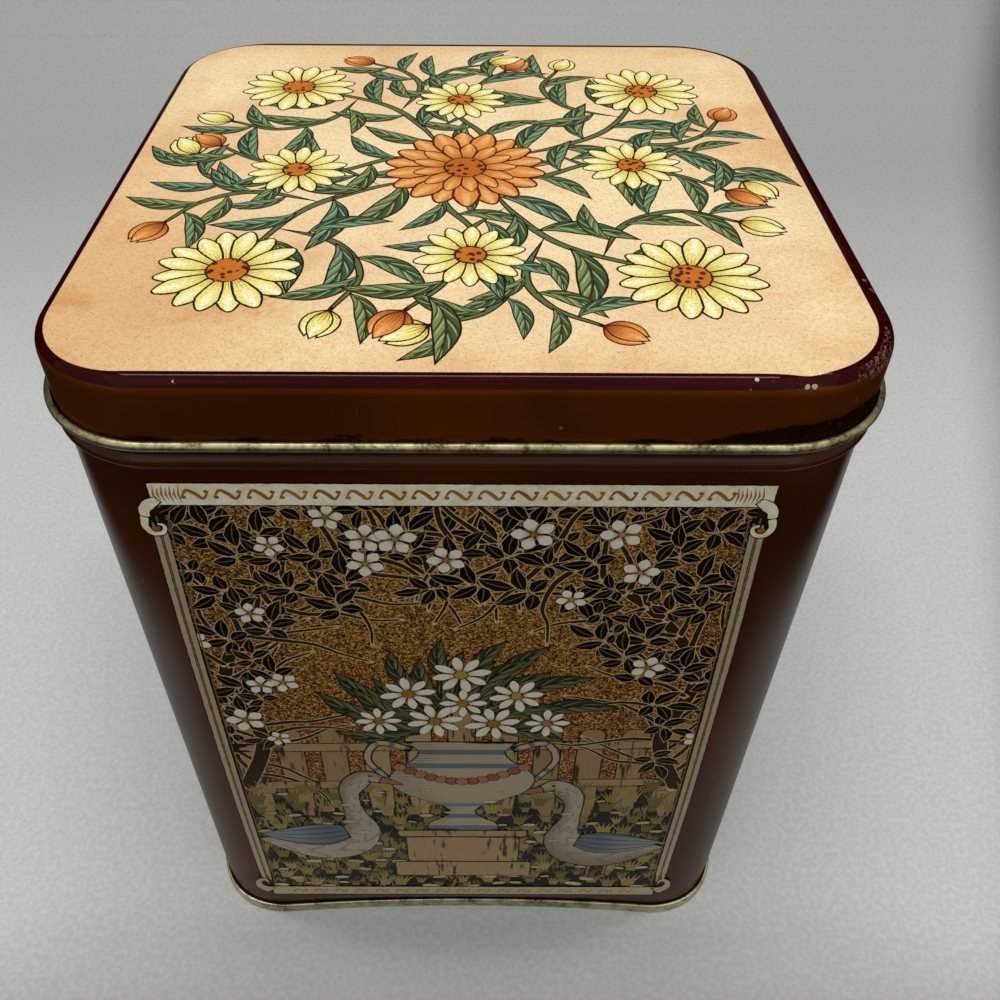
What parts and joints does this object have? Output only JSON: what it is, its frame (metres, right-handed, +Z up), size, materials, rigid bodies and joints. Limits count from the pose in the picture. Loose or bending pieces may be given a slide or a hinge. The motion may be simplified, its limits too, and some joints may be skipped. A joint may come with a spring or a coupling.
{
  "type": "square tin canister",
  "caption": "Tall square tinplate canister with rounded corners, a lift-off slip lid with a curled foot, a stop bead below it and a seamed-on bottom end; it holds papers and keepsakes.",
  "frame": {"origin": "middle of the foot, on the surface that the tin stands on", "axes": "+Z up out of the lid, -Y out of the pictured front, +X to the right of that front"},
  "size_m": [0.1062, 0.1062, 0.14],
  "materials": {
    "lid_print": "gloss",
    "wall_print": "gloss",
    "gold_lacquer": "gloss"
  },
  "bodies": {
    "tin": {"body_wall": "wall_print", "bottom_end": "gold_lacquer"},
    "lid": {"slip_lid": "lid_print"}
  },
  "joints": [
    {"name": "lid_lift", "type": "slide", "parent": "tin", "child": "lid", "axis": [0, 0, 1], "range_m": [0, 0.12]}
  ]
}
